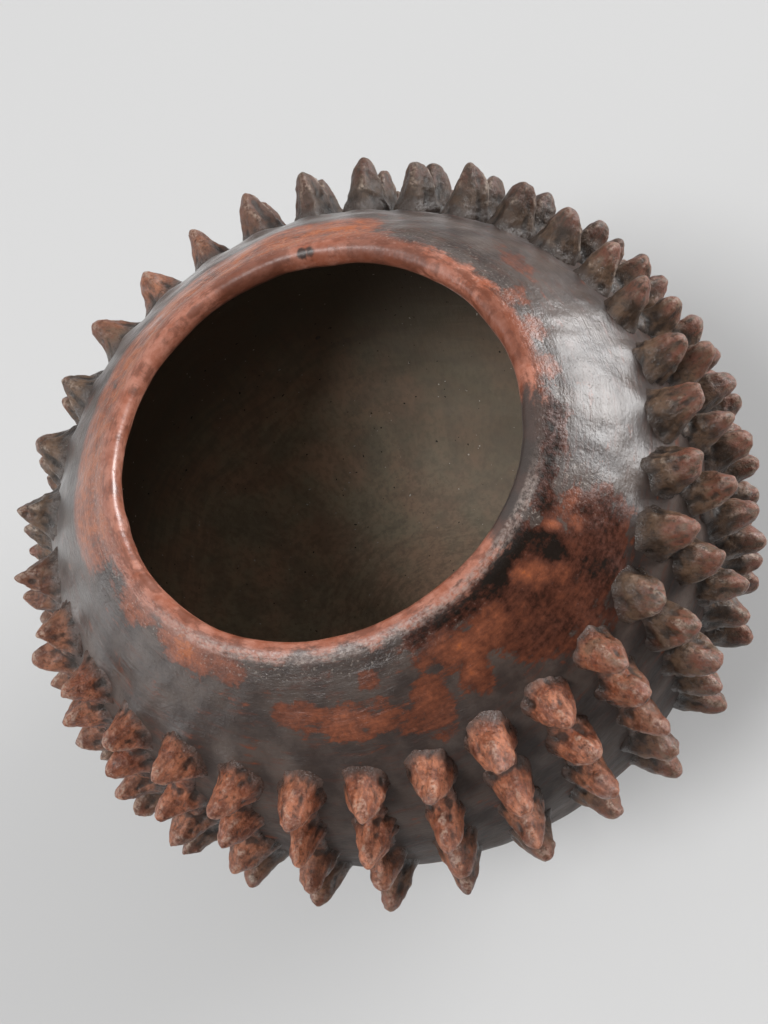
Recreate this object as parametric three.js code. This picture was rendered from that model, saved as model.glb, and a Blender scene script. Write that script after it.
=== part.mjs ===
// Hand-built clay jar with a rolled lip and upright strips of pinched thorns.
// Millimetres, +Z up, foot on the ground at Z = 0, mouth centred on the Z axis.
import * as THREE from "three";

// Wall
const bellyRadius = 123.5;
const shoulderRise = 103;
const shoulderPower = 2.4;
const bowlDrop = 117;
const bowlPower = 2;
const wallThickness = 8;

// Foot: a shallow dish with a flat underside, whose rim carries the wall
const footRadius = 48;
const floorThickness = 9;
const flatFloorRadius = 34;
const dishRim = 22;

// Lip
const mouthRadius = 70;
const lipWidth = 8.5;
const lipProud = 2.6;
const creaseWidth = 0.9;
const creaseDepth = 0.5;
const deepestCrease = 0.9;
const coilDepth = 9;

// Thorn strips
const columnCount = 32;
const mostRows = 6;
const thornLength = 17;
const thornWidth = 14;
const valleyHeight = 4.5;
const valleyWidth = 9.5;
const seatGap = 0.4;

// Places of the thorns up a strip, in degrees seen from the middle of the belly
const topRowTurn = 27.6;
const rowPitch = 8.6;
const topRunOut = 4.8;
const bottomRunOut = 5.4;
const thornLift = 8;

// Form of a thorn and of the low saddle between two, as shares of length or of half the width
const tipBlunt = 0.1;
const flankHeight = 0.5;
const flankWidth = 0.76;
const cheekHeight = 0.42;
const cheekWidth = 0.66;
const cheekFoot = 0.9;
const cheekCrest = 0.88;
const cheekBlunt = 0.17;
const cheekPinch = 0.34;
const saddleCrest = 0.33;
const runOutSize = 0.35;

// Places of the strips round the jar, in degrees
const firstAzimuth = -146;
const crowding = 5;
const crowdingPhase = 48;
const drift = 1.4;

// On one side the strips are shorter and lean sideways as they go down
const shortSide = -118;
const rowsDropped = 2;
const stripLean = 1.1;

// Hand-made unevenness
const lengthSpread = 0.1;
const widthSpread = 0.08;
const rowShift = 0.9;
const tipSway = 1.2;
const scatterByColumn = 12.9;
const scatterByRow = 4.7;
const scatterByUse = 7.3;
const scatterGain = 917.3;

// Facets
const roundSteps = 64;
const shoulderSteps = 7;
const bowlSteps = 6;
const lipSteps = 6;
const flankSteps = 3;
const dishSteps = 3;
const floorSteps = 4;

// Height over which the inside's slope is measured where the dish's floor meets it
const slopeSpan = 0.1;

const lipOuterRadius = mouthRadius + lipWidth;
const bellyHeight = bowlDrop * otherLeg(footRadius / bellyRadius, bowlPower);
const lipCrestHeight = outsideHeight(lipOuterRadius) + lipProud;
const coilSeam = lipCrestHeight - coilDepth;

function toRadians(angle) {
  return angle * Math.PI / 180;
}

function lerp(from, to, share) {
  return from + (to - from) * share;
}

// A repeatable value between -1 and 1, different for each thorn and each use.
function uneven(column, row, use) {
  const angle = column * scatterByColumn + row * scatterByRow + use * scatterByUse;
  const turn = Math.sin(angle) * scatterGain;
  return 2 * (turn - Math.floor(turn)) - 1;
}

// How far out a curve of this power stands, as a share, when it has gone this share along its other leg.
function otherLeg(share, power) {
  return Math.pow(1 - Math.pow(Math.min(1, share), power), 1 / power);
}

// The wall is one curve: a flat-crowned shoulder above the belly and a round bowl below it.
function legAt(rise) {
  return rise > 0 ? { reach: shoulderRise, power: shoulderPower } : { reach: bowlDrop, power: bowlPower };
}

function curveRadius(height, inset) {
  const rise = height - bellyHeight;
  const { reach, power } = legAt(rise);
  return (bellyRadius - inset) * otherLeg(Math.abs(rise) / (reach - inset), power);
}

function outsideHeight(radius) {
  return bellyHeight + shoulderRise * otherLeg(radius / bellyRadius, shoulderPower);
}

// Heights from low to high, closer together where the curve turns inwards.
function curveHeights(low, high, steps) {
  const { reach } = legAt(high - bellyHeight);
  const start = Math.asin((low - bellyHeight) / reach);
  const end = Math.asin((high - bellyHeight) / reach);
  const heights = [];
  for (let step = 0; step <= steps; step += 1) {
    heights.push(bellyHeight + reach * Math.sin(lerp(start, end, step / steps)));
  }
  return heights;
}

function outlinePoints(heights, inset) {
  return heights.map((height) => new THREE.Vector2(curveRadius(height, inset), height));
}

// Outline points of the wall through the belly, going up.
function wallPoints(low, high, inset) {
  const below = curveHeights(low, bellyHeight, bowlSteps);
  const above = curveHeights(bellyHeight, high, shoulderSteps).slice(1);
  return outlinePoints(below.concat(above), inset);
}

function turned(outline) {
  const solid = new THREE.LatheGeometry(outline, roundSteps);
  solid.rotateX(Math.PI / 2);
  return solid;
}

// The dish: flat underneath, its floor curving up to run on into the inside of the wall.
function basePad() {
  const side = outlinePoints(curveHeights(0, dishRim, dishSteps), 0);
  const [rim, above] = outlinePoints([dishRim, dishRim + slopeSpan], wallThickness);
  const slope = (above.x - rim.x) / slopeSpan;
  const corner = new THREE.Vector2(rim.x - slope * (dishRim - floorThickness), floorThickness);
  const floorEdge = new THREE.Vector2(flatFloorRadius, floorThickness);
  const floor = new THREE.QuadraticBezierCurve(rim, corner, floorEdge).getPoints(floorSteps);
  return turned([new THREE.Vector2(0, 0)].concat(side, floor, [new THREE.Vector2(0, floorThickness)]));
}

function vesselWall() {
  const outside = wallPoints(dishRim, coilSeam, 0);
  const inside = wallPoints(dishRim, coilSeam, wallThickness).reverse();
  return turned(outside.concat(inside, [outside[0].clone()]));
}

// The last coil: flat underneath, rounded over the mouth, smoothed into the shoulder outside.
function rimCoil() {
  const roundRadius = lipWidth / 2;
  const centreRadius = mouthRadius + roundRadius;
  const centreHeight = lipCrestHeight - roundRadius;
  const shoulderTop = outsideHeight(lipOuterRadius + creaseWidth);
  const creaseRise = (shoulderTop - creaseDepth - centreHeight) / roundRadius;
  const creaseTurn = Math.asin(Math.max(0, Math.min(deepestCrease, creaseRise)));
  const outline = outlinePoints([coilSeam], wallThickness);
  outline.push(...outlinePoints(curveHeights(coilSeam, shoulderTop, flankSteps), 0));
  for (let step = 0; step <= lipSteps; step += 1) {
    const turn = lerp(creaseTurn, Math.PI, step / lipSteps);
    const radius = centreRadius + roundRadius * Math.cos(turn);
    outline.push(new THREE.Vector2(radius, centreHeight + roundRadius * Math.sin(turn)));
  }
  outline.push(outline[0].clone());
  return turned(outline);
}

// Frame on the wall at an elevation seen from the belly centre: foot point, outward and upward directions.
function wallFrame(elevation) {
  const lean = Math.cos(elevation);
  const rise = Math.sin(elevation);
  const { reach, power } = legAt(rise);
  const across = Math.pow(lean / bellyRadius, power);
  const along = Math.pow(Math.abs(rise) / reach, power);
  const distance = Math.pow(across + along, -1 / power) + seatGap;
  const aim = elevation + toRadians(thornLift);
  return {
    radius: distance * lean,
    height: bellyHeight + distance * rise,
    out: new THREE.Vector2(Math.cos(aim), Math.sin(aim)),
    up: new THREE.Vector2(-Math.sin(aim), Math.cos(aim)),
  };
}

// Places a point at a side distance, an outward distance and an upward distance from the wall.
function placed(frame, azimuth, side, outward, upward) {
  const radius = frame.radius + frame.out.x * outward + frame.up.x * upward;
  const height = frame.height + frame.out.y * outward + frame.up.y * upward;
  const turn = azimuth + side / frame.radius;
  return new THREE.Vector3(radius * Math.cos(turn), radius * Math.sin(turn), height);
}

// One cross-section of a strip: two feet on the wall, two flanks and a blunt crest.
function section(elevation, azimuth, shape) {
  const frame = wallFrame(elevation);
  const { footHalf, flankHalf, flankOut, flankUp, crestHalf, crestOut, crestUp, sway } = shape;
  return [
    placed(frame, azimuth, -footHalf, 0, 0),
    placed(frame, azimuth, footHalf, 0, 0),
    placed(frame, azimuth, flankHalf + sway / 2, flankOut, flankUp),
    placed(frame, azimuth, crestHalf + sway, crestOut, crestUp),
    placed(frame, azimuth, sway - crestHalf, crestOut, crestUp),
    placed(frame, azimuth, sway / 2 - flankHalf, flankOut, flankUp),
  ];
}

// The low saddle between two thorns, and the small end the strip runs out to.
function saddleShape(size) {
  const half = valleyWidth / 2 * size;
  const height = valleyHeight * size;
  return {
    footHalf: half,
    flankHalf: half * flankWidth,
    flankOut: height * flankHeight,
    flankUp: 0,
    crestHalf: half * saddleCrest,
    crestOut: height,
    crestUp: 0,
    sway: 0,
  };
}

// The pinched thorn: a section through its tip, and one pinched in towards the tip above and below it.
function thornShapes(length, width, sway) {
  const half = width / 2;
  const tip = {
    footHalf: half,
    flankHalf: half * flankWidth,
    flankOut: length * flankHeight,
    flankUp: 0,
    crestHalf: length * tipBlunt,
    crestOut: length,
    crestUp: 0,
    sway,
  };
  const cheek = (pinch) => ({
    footHalf: half * cheekFoot,
    flankHalf: half * cheekWidth,
    flankOut: length * cheekHeight,
    flankUp: 0,
    crestHalf: length * cheekBlunt,
    crestOut: length * cheekCrest,
    crestUp: half * pinch,
    sway: sway * cheekCrest,
  });
  return [cheek(-cheekPinch), tip, cheek(cheekPinch)];
}

// The sections of one strip from its top run-out down to its bottom one.
function stripSections(column) {
  const azimuth = columnAzimuth(column);
  const shortness = Math.max(0, Math.cos(azimuth - toRadians(shortSide)));
  const rows = mostRows - Math.round(rowsDropped * shortness);
  const bearing = (row) => azimuth - toRadians(stripLean) * shortness * row;
  const centre = (row) => toRadians(topRowTurn - rowPitch * row + rowShift * uneven(column, row, 1));
  const cheekTurn = toRadians(rowPitch) / 4;
  const sections = [section(centre(0) + toRadians(topRunOut), bearing(0), saddleShape(runOutSize))];
  for (let row = 0; row < rows; row += 1) {
    const length = thornLength * (1 + lengthSpread * uneven(column, row, 2));
    const width = thornWidth * (1 + widthSpread * uneven(column, row, 3));
    const shapes = thornShapes(length, width, tipSway * uneven(column, row, 4));
    if (row > 0) {
      const saddle = (centre(row - 1) + centre(row)) / 2;
      sections.push(section(saddle, bearing(row - 0.5), saddleShape(1)));
    }
    shapes.forEach((shape, place) => {
      sections.push(section(centre(row) + cheekTurn * (1 - place), bearing(row), shape));
    });
  }
  const bottom = centre(rows - 1) - toRadians(bottomRunOut);
  sections.push(section(bottom, bearing(rows - 1), saddleShape(runOutSize)));
  return sections;
}

// Skins a row of closed sections and caps both ends.
function lofted(sections) {
  const ring = sections[0].length;
  const positions = [];
  const faces = [];
  for (const loop of sections) for (const point of loop) positions.push(point.x, point.y, point.z);
  for (let level = 0; level + 1 < sections.length; level += 1) {
    for (let corner = 0; corner < ring; corner += 1) {
      const next = (corner + 1) % ring;
      const a = level * ring + corner;
      const b = level * ring + next;
      faces.push(a, b, a + ring, b, b + ring, a + ring);
    }
  }
  const end = (sections.length - 1) * ring;
  for (let corner = 1; corner + 1 < ring; corner += 1) {
    faces.push(0, corner + 1, corner);
    faces.push(end, end + corner, end + corner + 1);
  }
  const solid = new THREE.BufferGeometry();
  solid.setAttribute("position", new THREE.Float32BufferAttribute(positions, 3));
  solid.setIndex(faces);
  solid.computeVertexNormals();
  return solid;
}

function columnAzimuth(column) {
  const turn = 2 * Math.PI * column / columnCount;
  const spread = crowding * Math.sin(turn + toRadians(crowdingPhase)) - drift * Math.sin(2 * turn);
  return toRadians(firstAzimuth + spread) + turn;
}

function thornColumn(column) {
  return lofted(stripSections(column));
}

function burnishedClay() {
  return new THREE.MeshStandardMaterial({ color: 0x54413a, roughness: 0.42, metalness: 0 });
}

function lipClay() {
  return new THREE.MeshStandardMaterial({ color: 0xa3573f, roughness: 0.45, metalness: 0 });
}

function padClay() {
  return new THREE.MeshStandardMaterial({ color: 0x4a3a33, roughness: 0.8, metalness: 0 });
}

function thornClay() {
  return new THREE.MeshStandardMaterial({ color: 0x7a4f3a, roughness: 0.65, metalness: 0 });
}

const group = new THREE.Group();
group.name = "thorned_clay_jar";

function add(name, geometry, material) {
  const piece = new THREE.Mesh(geometry, material);
  piece.name = name;
  group.add(piece);
}

add("base_pad", basePad(), padClay());
add("vessel_wall", vesselWall(), burnishedClay());
add("rim_coil", rimCoil(), lipClay());
for (let column = 0; column < columnCount; column += 1) {
  const number = String(column + 1).padStart(2, "0");
  add("thorn_column_" + number, thornColumn(column), thornClay());
}

export default group;
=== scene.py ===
"""Looks for the thorned clay jar: a hand-smoothed wall and lip, pinched thorns and fire-clouded clay."""

import math
from collections import namedtuple

import bpy
import numpy as np
from mathutils import Matrix, Vector


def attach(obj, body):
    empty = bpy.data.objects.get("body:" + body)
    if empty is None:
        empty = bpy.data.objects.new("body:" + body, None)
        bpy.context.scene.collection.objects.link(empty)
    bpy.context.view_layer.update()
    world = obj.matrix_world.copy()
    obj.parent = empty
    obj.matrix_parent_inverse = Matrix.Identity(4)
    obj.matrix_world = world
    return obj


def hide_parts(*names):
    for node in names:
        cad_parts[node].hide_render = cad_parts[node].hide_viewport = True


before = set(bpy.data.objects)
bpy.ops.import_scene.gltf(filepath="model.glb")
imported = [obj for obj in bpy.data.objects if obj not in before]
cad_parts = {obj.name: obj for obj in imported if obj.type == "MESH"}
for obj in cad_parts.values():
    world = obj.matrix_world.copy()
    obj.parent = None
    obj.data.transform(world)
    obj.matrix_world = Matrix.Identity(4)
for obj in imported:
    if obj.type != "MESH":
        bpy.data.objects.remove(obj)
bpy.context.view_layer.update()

# Lengths are in millimetres, and are turned into metres where a mesh, a light or the camera is made.
MM = 0.001

# The jar's own sizes, as in its solids
BELLY_RADIUS = 123.5
SHOULDER_RISE, SHOULDER_POWER = 103.0, 2.4
BOWL_DROP, BOWL_POWER = 117.0, 2.0
WALL_THICKNESS = 8.0
FOOT_RADIUS = 48.0
FLOOR_THICKNESS = 9.0
FLAT_FLOOR_RADIUS = 34.0
DISH_RIM = 22.0
MOUTH_RADIUS = 70.0
LIP_WIDTH = 8.5
LIP_PROUD = 2.6
COIL_DEPTH = 9.0
LIP_SWELL, LIP_SWELL_FROM, LIP_SWELL_TO = 0.5, 82.0, 78.0
GROOVE_RADIUS, GROOVE_WIDTH, GROOVE_DEPTH = 80.8, 1.3, 0.45
LIP_TURN, LIP_INNER_SLOPE = 76.0, 1.2
COLUMNS = 32
MOST_ROWS = 6
THORN_LENGTH = 17.0
THORN_WIDTH = 14.0
BELLY_HEIGHT = BOWL_DROP * math.sqrt(1 - (FOOT_RADIUS / BELLY_RADIUS) ** 2)

# How strips and thorns are spaced, in degrees, and the sides where they are stout, squat or few
TOP_ROW, ROW_PITCH, ROW_UNEVENNESS = 27.6, 8.6, 0.9
THORN_LIFT = 8.0
FIRST_COLUMN, SPREAD_TURN = -146, 48
SPREAD, SECOND_SPREAD = 5, 1.4
STOUT_SIDE, SQUAT_SIDE, SHORT_SIDE = -10.0, 140.0, -118.0
STRIP_LEAN = 1.1
ROWS_DROPPED = 2

# A thorn's form: extra length, shares by which it varies, and its flare, smear and blunt three-sided section
THORN_EXTRA = 0.8
LENGTH_UNEVENNESS, WIDTH_UNEVENNESS, SWAY = 0.1, 0.08, 1.2
FLARE, FLARE_REACH, FIRST_SMEAR = 0.22, 0.18, 0.08
ARRIS = 0.1

# The ranges that a thorn's form is drawn from, and what it gains on the stout and on the squat side
TAPER, DROOP, CORNERS = (0.44, 0.56), (-1.4, 1.2), (1.75, 2.15)
BREADTH, TALLNESS, LUMPINESS = (0.88, 1.02), (1.0, 1.16), (0.015, 0.05)
STOUT_TAPER, STOUT_BREADTH = -0.1, 0.1
SQUAT_TAPER, SQUAT_BREADTH, SQUAT_FLARE, SQUAT_LENGTH = 0.14, 0.16, 0.16, -3.4

# The ridge of clay under a strip: half width and height at its ends and along it, and depth below the wall
RIDGE_END_HALF, RIDGE_HALF = 2.0, 5.2
RIDGE_END_TOP, RIDGE_TOP = -2.4, 4.4
RIDGE_DEPTH = 4.0
RIDGE_ABOVE, RIDGE_BELOW = 1.5, 6.0

# The wall's swelling along a strip: height, half width, how far past the strip's ends in degrees, and how far
# beyond and within those it fades, in radians
SWELLING, SWELLING_WIDTH = 1.5, 6.5
SWELLING_ABOVE, SWELLING_BELOW = 5.0, 4.0
FADE_BEYOND, FADE_WITHIN = 0.05, 0.04

# Unevenness of the skin and of the thorns: depth, wavelength and seed, and how much of it the lip is spared
WAVINESS = ((0.7, 95, 1), (0.22, 26, 2), (0.06, 9, 3))
LIP_STILLNESS = 0.45
THORN_FACETS = (0.22, 15, 500)
THORN_LUMPS = ((0.07, 3.0, 600), (0.16, 9.0, 700))
THORN_FLUTES = (0.2, 5.0, 800)
STRIP_SEED = 400

# Mesh spacing
AZIMUTH_STEPS = 640
OUTSIDE_SPACING = 1.1
INSIDE_SPACING = 1.2
UNDER_SPACING = 6.0
CENTRE_HOLE = 0.5
THORN_STEPS, RIDGE_STEPS, RIDGE_RINGS = 32, 16, 26
THORN_VOXEL = 0.8


def waves(points, wavelength, seed, terms=14):
    """Smooth unevenness of about unit size: waves of one length in many fixed directions."""
    random = np.random.RandomState(seed)
    directions = random.normal(size=(terms, 3))
    directions /= np.linalg.norm(directions, axis=1)[:, None]
    lengths = wavelength * random.uniform(0.7, 1.4, terms)
    phases = random.uniform(0, 2 * math.pi, terms)
    total = np.zeros(len(points))
    for direction, length, phase in zip(directions, lengths, phases):
        total += np.sin(points @ direction * (2 * math.pi / length) + phase)
    return total / math.sqrt(terms / 2)


def smooth_step(low, high, value):
    share = np.clip((value - low) / (high - low), 0, 1)
    return share * share * (3 - 2 * share)


def wall_distance(elevation):
    """How far the wall stands from the middle of the belly, seen at an elevation in radians."""
    above = np.sin(elevation) > 0
    reach = np.where(above, SHOULDER_RISE, BOWL_DROP)
    power = np.where(above, SHOULDER_POWER, BOWL_POWER)
    across = (np.cos(elevation) / BELLY_RADIUS) ** power
    along = (np.abs(np.sin(elevation)) / reach) ** power
    return (across + along) ** (-1 / power)


def outside_height(radius):
    share = 1 - (radius / BELLY_RADIUS) ** SHOULDER_POWER
    return BELLY_HEIGHT + SHOULDER_RISE * share ** (1 / SHOULDER_POWER)


LIP_CREST = outside_height(MOUTH_RADIUS + LIP_WIDTH) + LIP_PROUD
COIL_SEAM = LIP_CREST - COIL_DEPTH


def uneven(column, row, use):
    """The same repeatable value between -1 and 1 that spaces and sizes the thorns in the solids."""
    turn = math.sin(column * 12.9 + row * 4.7 + use * 7.3) * 917.3
    return 2 * (turn - math.floor(turn)) - 1


def column_azimuth(column):
    turn = 2 * math.pi * column / COLUMNS
    spread = SPREAD * math.sin(turn + math.radians(SPREAD_TURN)) - SECOND_SPREAD * math.sin(2 * turn)
    return math.radians(FIRST_COLUMN + spread) + turn


def side_share(azimuth, side):
    """1 on one side of the jar, falling to 0 a quarter turn away."""
    return max(0.0, math.cos(azimuth - math.radians(side)))


class Thorn:
    """Where one thorn stands and how big it is."""

    def __init__(self, column, row):
        azimuth = column_azimuth(column)
        lean = math.radians(STRIP_LEAN) * side_share(azimuth, SHORT_SIDE)
        self.azimuth = azimuth - lean * row
        self.elevation = math.radians(TOP_ROW - ROW_PITCH * row + ROW_UNEVENNESS * uneven(column, row, 1))
        self.length = THORN_LENGTH * (1 + LENGTH_UNEVENNESS * uneven(column, row, 2))
        self.width = THORN_WIDTH * (1 + WIDTH_UNEVENNESS * uneven(column, row, 3))
        self.sway = SWAY * uneven(column, row, 4)


def column_thorns(column):
    rows = MOST_ROWS - math.floor(ROWS_DROPPED * side_share(column_azimuth(column), SHORT_SIDE) + 0.5)
    return [Thorn(column, row) for row in range(rows)]


STRIPS = [column_thorns(column) for column in range(COLUMNS)]


def strip_line(strip):
    """The elevations and azimuths of a strip's thorns, going up."""
    return [thorn.elevation for thorn in strip][::-1], [thorn.azimuth for thorn in strip][::-1]


# The wall, lip and foot are cut from one turned skin, so that their surfaces run on without a step.


def resampled(points, spacing):
    points = np.array(points, float)
    steps = np.linalg.norm(np.diff(points, axis=0), axis=1)
    along = np.concatenate([[0], np.cumsum(steps)])
    count = max(2, round(along[-1] / spacing))
    wanted = np.linspace(0, along[-1], count + 1)
    return np.stack([np.interp(wanted, along, points[:, k]) for k in range(2)], axis=1)


def curve_radius(height, inset=0.0):
    rise = height - BELLY_HEIGHT
    above = rise > 0
    reach = (SHOULDER_RISE if above else BOWL_DROP) - inset
    power = SHOULDER_POWER if above else BOWL_POWER
    return (BELLY_RADIUS - inset) * (1 - (abs(rise) / reach) ** power) ** (1 / power)


def curve_points(low, high, inset, steps=160):
    """Outline points going up, closer together where the curve turns inwards."""
    spread = np.sin(np.linspace(-math.pi / 2, math.pi / 2, steps))
    middle, half = (low + high) / 2, (high - low) / 2
    return [(curve_radius(middle + half * s, inset), middle + half * s) for s in spread]


def bend(start, corner, end, count):
    """Points of a curve that leaves one place and reaches another along the lines to their corner."""
    share = np.linspace(0, 1, count)[:, None]
    return (1 - share) ** 2 * start + 2 * share * (1 - share) * corner + share ** 2 * end


def lip_points():
    """The smoothed lip: over a soft groove, up the shoulder's own slope and round down into the mouth."""
    radii = np.linspace(LIP_SWELL_FROM + 2, LIP_TURN, 30)
    swell = LIP_SWELL * smooth_step(-LIP_SWELL_FROM, -LIP_SWELL_TO, -radii)
    groove = GROOVE_DEPTH * np.exp(-(((radii - GROOVE_RADIUS) / GROOVE_WIDTH) ** 2))
    flank = np.stack([radii, outside_height(radii) + swell - groove], axis=1)
    slope = (flank[-1] - flank[-2]) / (radii[-2] - radii[-1])
    corner = flank[-1] + slope * (LIP_TURN - MOUTH_RADIUS)
    foot = np.array([MOUTH_RADIUS, LIP_CREST - LIP_INNER_SLOPE * (LIP_TURN - MOUTH_RADIUS)])
    return np.concatenate([flank, bend(flank[-1], corner, foot, 20)[1:]])


def dish_floor():
    """The floor's curve, running on from the inside of the wall."""
    rim = np.array([curve_radius(DISH_RIM, WALL_THICKNESS), DISH_RIM])
    span = 0.1
    slope = (curve_radius(DISH_RIM + span, WALL_THICKNESS) - rim[0]) / span
    corner = np.array([rim[0] - slope * (DISH_RIM - FLOOR_THICKNESS), FLOOR_THICKNESS])
    edge = np.array([FLAT_FLOOR_RADIUS, FLOOR_THICKNESS])
    return bend(rim, corner, edge, 24)


def jar_outline():
    """Outline from under the foot up the outside, over the lip, down the inside and in over the floor."""
    under = resampled([(CENTRE_HOLE, 0), (FOOT_RADIUS, 0)], UNDER_SPACING)
    lip = lip_points()
    crest = int(np.argmax(lip[:, 1]))
    outside = curve_points(0.0, outside_height(LIP_SWELL_FROM + 3), 0.0)
    outer = resampled(outside + lip[: crest + 1].tolist(), OUTSIDE_SPACING)
    inside = curve_points(DISH_RIM, COIL_SEAM, WALL_THICKNESS)[::-1]
    floor = dish_floor()[1:].tolist() + [(CENTRE_HOLE, FLOOR_THICKNESS)]
    inner = resampled(lip[crest:].tolist() + inside + floor, INSIDE_SPACING)
    outline = np.concatenate([under, outer[1:], inner[1:]])
    for _ in range(3):
        outline[1:-1] = (outline[:-2] + 2 * outline[1:-1] + outline[2:]) / 4
    outline[: len(under) - 3, 1] = 0
    return outline, len(under) + len(outer) - 1


def swelling(azimuth, elevation):
    """Clay drawn up from the wall along each strip of thorns."""
    total = np.zeros_like(azimuth)
    for strip in STRIPS:
        rows, bearings = strip_line(strip)
        gap = (azimuth - np.interp(elevation, rows, bearings) + math.pi) % (2 * math.pi) - math.pi
        side = gap * np.cos(elevation) * BELLY_RADIUS
        top, bottom = rows[-1] + math.radians(SWELLING_ABOVE), rows[0] - math.radians(SWELLING_BELOW)
        band = smooth_step(top + FADE_BEYOND, top - FADE_WITHIN, elevation)
        band = band * smooth_step(bottom - FADE_BEYOND, bottom + FADE_WITHIN, elevation)
        total += SWELLING * np.exp(-((side / SWELLING_WIDTH) ** 2)) * band
    return total


def jar_grid():
    """All points of the jar's skin, as outline rows by steps round the jar."""
    outline, outside_count = jar_outline()
    azimuths = np.linspace(0, 2 * math.pi, AZIMUTH_STEPS, endpoint=False)
    around = np.stack([np.cos(azimuths), np.sin(azimuths)], axis=1)
    tangent = np.gradient(outline, axis=0)
    normal = np.stack([tangent[:, 1], -tangent[:, 0]], axis=1)
    normal /= np.linalg.norm(normal, axis=1)[:, None]
    points = np.zeros((len(outline), AZIMUTH_STEPS, 3))
    points[..., :2] = outline[:, 0][:, None, None] * around[None]
    points[..., 2] = outline[:, 1][:, None]
    flat = points.reshape(-1, 3)
    push = sum(depth * waves(flat, length, seed) for depth, length, seed in WAVINESS)
    push = push.reshape(points.shape[:2])
    elevation = np.arctan2(points[..., 2] - BELLY_HEIGHT, np.hypot(points[..., 0], points[..., 1]))
    azimuth = np.arctan2(points[..., 1], points[..., 0])
    push[:outside_count] += swelling(azimuth[:outside_count], elevation[:outside_count])
    # The lip moves less, so that the mouth stays round, and the underside stays flat.
    height = outline[:, 1]
    still = 1 - LIP_STILLNESS * smooth_step(COIL_SEAM, LIP_CREST, height)
    outside = np.arange(len(outline)) < outside_count
    still *= np.where(outside, smooth_step(0.5, DISH_RIM, height), 1.0)
    push *= still[:, None]
    points[..., :2] += (push * normal[:, 0][:, None])[..., None] * around[None]
    points[..., 2] += push * normal[:, 1][:, None]
    return outline, outside_count, points


def grid_normals(points):
    """Normals of the turned skin, the same for every piece that is cut from it."""
    around = np.roll(points, -1, axis=1) - np.roll(points, 1, axis=1)
    along = np.gradient(points, axis=0)
    normals = np.cross(around, along)
    return normals / np.linalg.norm(normals, axis=2)[..., None]


def add_object(name, data):
    made = bpy.data.objects.new(name, data)
    bpy.context.scene.collection.objects.link(made)
    return made


def mesh_object(name, points, faces, material_index=None):
    mesh = bpy.data.meshes.new(name)
    mesh.from_pydata((points * MM).tolist(), [], [list(map(int, face)) for face in faces])
    if material_index is not None:
        mesh.polygons.foreach_set("material_index", np.array(material_index, np.int32))
    mesh.polygons.foreach_set("use_smooth", np.ones(len(mesh.polygons), bool))
    mesh.update()
    return add_object(name, mesh)


JAR_OUTLINE, OUTSIDE_COUNT, JAR_SKIN = jar_grid()
JAR_NORMALS = grid_normals(JAR_SKIN)


def row_at(height, outside):
    """The outline row nearest a height, on the outside or on the inside."""
    rows = np.arange(len(JAR_OUTLINE))
    half = (rows < OUTSIDE_COUNT) == outside
    half &= np.abs(JAR_OUTLINE[:, 0]) > FLAT_FLOOR_RADIUS
    return int(rows[half][np.argmin(np.abs(JAR_OUTLINE[half, 1] - height))])


def turned_piece(name, row_numbers, joins, caps=()):
    """A closed piece cut from the skin. joins holds pairs of its rows and a slot, caps a row and a slot."""
    steps = np.arange(AZIMUTH_STEPS)
    after = (steps + 1) % AZIMUTH_STEPS
    faces, slots = [], []
    for first, second, slot in joins:
        low, high = first * AZIMUTH_STEPS, second * AZIMUTH_STEPS
        faces += np.stack([low + steps, low + after, high + after, high + steps], axis=1).tolist()
        slots += [slot] * AZIMUTH_STEPS
    for row, slot, order in caps:
        faces.append((row * AZIMUTH_STEPS + steps[::order]).tolist())
        slots.append(slot)
    piece = mesh_object(name, JAR_SKIN[row_numbers].reshape(-1, 3), faces, slots)
    piece.data.normals_split_custom_set_from_vertices(JAR_NORMALS[row_numbers].reshape(-1, 3).tolist())
    return piece


OUT_RIM, OUT_SEAM = row_at(DISH_RIM, True), row_at(COIL_SEAM, True)
IN_SEAM, IN_RIM = row_at(COIL_SEAM, False), row_at(DISH_RIM, False)
OUTSIDE, INSIDE = 0, 1


def ladder(first, last, slot):
    return [(row, row + 1, slot) for row in range(first, last)]


def build_foot():
    """The flat-footed dish: underside and outside up to its rim, then its floor."""
    outer, inner = list(range(0, OUT_RIM + 1)), list(range(IN_RIM, len(JAR_OUTLINE)))
    rim = len(outer) - 1
    last = len(outer) + len(inner) - 1
    joins = ladder(0, rim, OUTSIDE) + [(rim, rim + 1, OUTSIDE)] + ladder(rim + 1, last, INSIDE)
    return turned_piece("foot", outer + inner, joins, [(0, OUTSIDE, -1), (last, INSIDE, 1)])


def build_wall():
    outer, inner = list(range(OUT_RIM, OUT_SEAM + 1)), list(range(IN_SEAM, IN_RIM + 1))
    top = len(outer) - 1
    last = len(outer) + len(inner) - 1
    joins = ladder(0, top, OUTSIDE) + [(top, top + 1, OUTSIDE)]
    joins += ladder(top + 1, last, INSIDE) + [(last, 0, INSIDE)]
    return turned_piece("burnished_wall", outer + inner, joins)


def build_lip():
    rows = list(range(OUT_SEAM, IN_SEAM + 1))
    last = len(rows) - 1
    return turned_piece("rolled_lip", rows, ladder(0, last, OUTSIDE) + [(last, 0, OUTSIDE)])


# A thorn is a stack of rings in its own directions: to the side, outward and up along the wall.

Foot = namedtuple("Foot", "azimuth elevation")


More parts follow.
